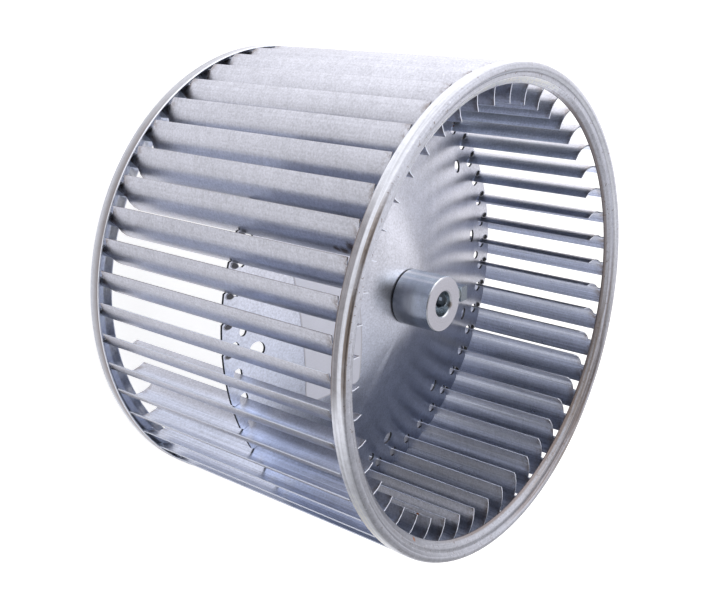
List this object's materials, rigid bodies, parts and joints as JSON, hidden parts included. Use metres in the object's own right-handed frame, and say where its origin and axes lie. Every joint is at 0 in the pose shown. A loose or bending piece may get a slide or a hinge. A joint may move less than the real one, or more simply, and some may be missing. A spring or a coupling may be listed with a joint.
{
  "type": "blower wheel",
  "caption": "Squirrel-cage blower wheel with curved blades between rolled end rings, a dished center disc and a bored hub with a square-head set screw.",
  "frame": {"origin": "middle of the plane that the rear end ring stands on", "axes": "+Z along the wheel's axis, from the rear end ring towards the front inlet, where the hub is"},
  "size_m": [0.2413, 0.2412, 0.1618],
  "materials": {
    "ring_steel": "galvanised sheet, semi-gloss",
    "blade_steel": "galvanised sheet, semi-gloss",
    "disc_steel": "galvanised sheet, semi-gloss",
    "hub_zinc": "turned steel, zinc plated",
    "screw_steel": "zinc plated"
  },
  "bodies": {
    "wheel": {"front_end_ring": "ring_steel", "rear_end_ring": "ring_steel", "center_disc": "disc_steel", "hub": "hub_zinc", "blade_01": "blade_steel", "blade_02": "blade_steel", "blade_03": "blade_steel", "blade_04": "blade_steel", "blade_05": "blade_steel", "blade_06": "blade_steel", "blade_07": "blade_steel", "blade_08": "blade_steel", "blade_09": "blade_steel", "blade_10": "blade_steel", "blade_11": "blade_steel", "blade_12": "blade_steel", "blade_13": "blade_steel", "blade_14": "blade_steel", "blade_15": "blade_steel", "blade_16": "blade_steel", "blade_17": "blade_steel", "blade_18": "blade_steel", "blade_19": "blade_steel", "blade_20": "blade_steel", "blade_21": "blade_steel", "blade_22": "blade_steel", "blade_23": "blade_steel", "blade_24": "blade_steel", "blade_25": "blade_steel", "blade_26": "blade_steel", "blade_27": "blade_steel", "blade_28": "blade_steel", "blade_29": "blade_steel", "blade_30": "blade_steel", "blade_31": "blade_steel", "blade_32": "blade_steel", "blade_33": "blade_steel", "blade_34": "blade_steel", "blade_35": "blade_steel", "blade_36": "blade_steel", "blade_37": "blade_steel", "blade_38": "blade_steel", "blade_39": "blade_steel", "blade_40": "blade_steel", "blade_41": "blade_steel", "blade_42": "blade_steel", "blade_43": "blade_steel", "blade_44": "blade_steel", "blade_45": "blade_steel", "blade_46": "blade_steel", "blade_47": "blade_steel", "blade_48": "blade_steel"},
    "set_screw": {"set_screw": "screw_steel"}
  },
  "joints": [
    {"name": "set_screw_travel", "type": "slide", "parent": "wheel", "child": "set_screw", "axis": [-0.3584, 0.9336, 0], "range_m": [0, 0.005]}
  ]
}
